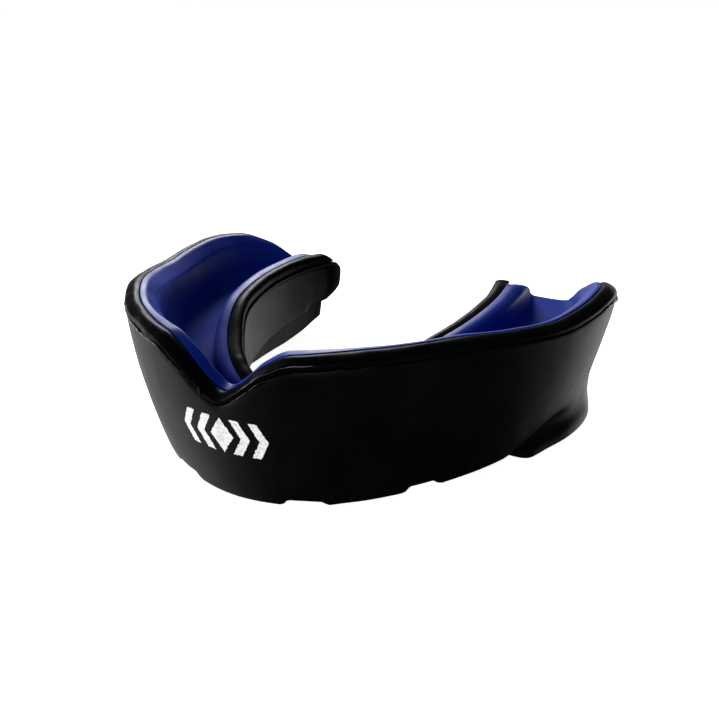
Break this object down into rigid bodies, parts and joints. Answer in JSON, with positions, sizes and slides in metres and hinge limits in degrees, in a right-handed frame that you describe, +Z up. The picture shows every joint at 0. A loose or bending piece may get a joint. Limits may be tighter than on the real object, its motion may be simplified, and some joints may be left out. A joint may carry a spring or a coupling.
{
  "type": "mouthguard",
  "caption": "Horseshoe-shaped boil-and-bite sports mouthguard: a black outer shell and shock frame around a blue gel liner channel, with molar blocks beneath.",
  "frame": {"origin": "centre of the bounding box, on the plane that the molar blocks and the front land rest on", "axes": "+X to the right arm, towards the wearer's side of the arch; +Y towards the open back of the arch; +Z up, towards the upper teeth"},
  "size_m": [0.066, 0.0504, 0.0204],
  "materials": {
    "shell_rubber": "satin black moulded EVA rubber with a soft grey sheen",
    "frame_rubber": "semi-gloss black moulded EVA rubber",
    "liner_gel": "satin royal blue thermoplastic gel",
    "print_ink": null
  },
  "bodies": {
    "root": {"outer_shell": "shell_rubber", "shock_frame": "frame_rubber", "gel_liner": "liner_gel"}
  },
  "joints": []
}
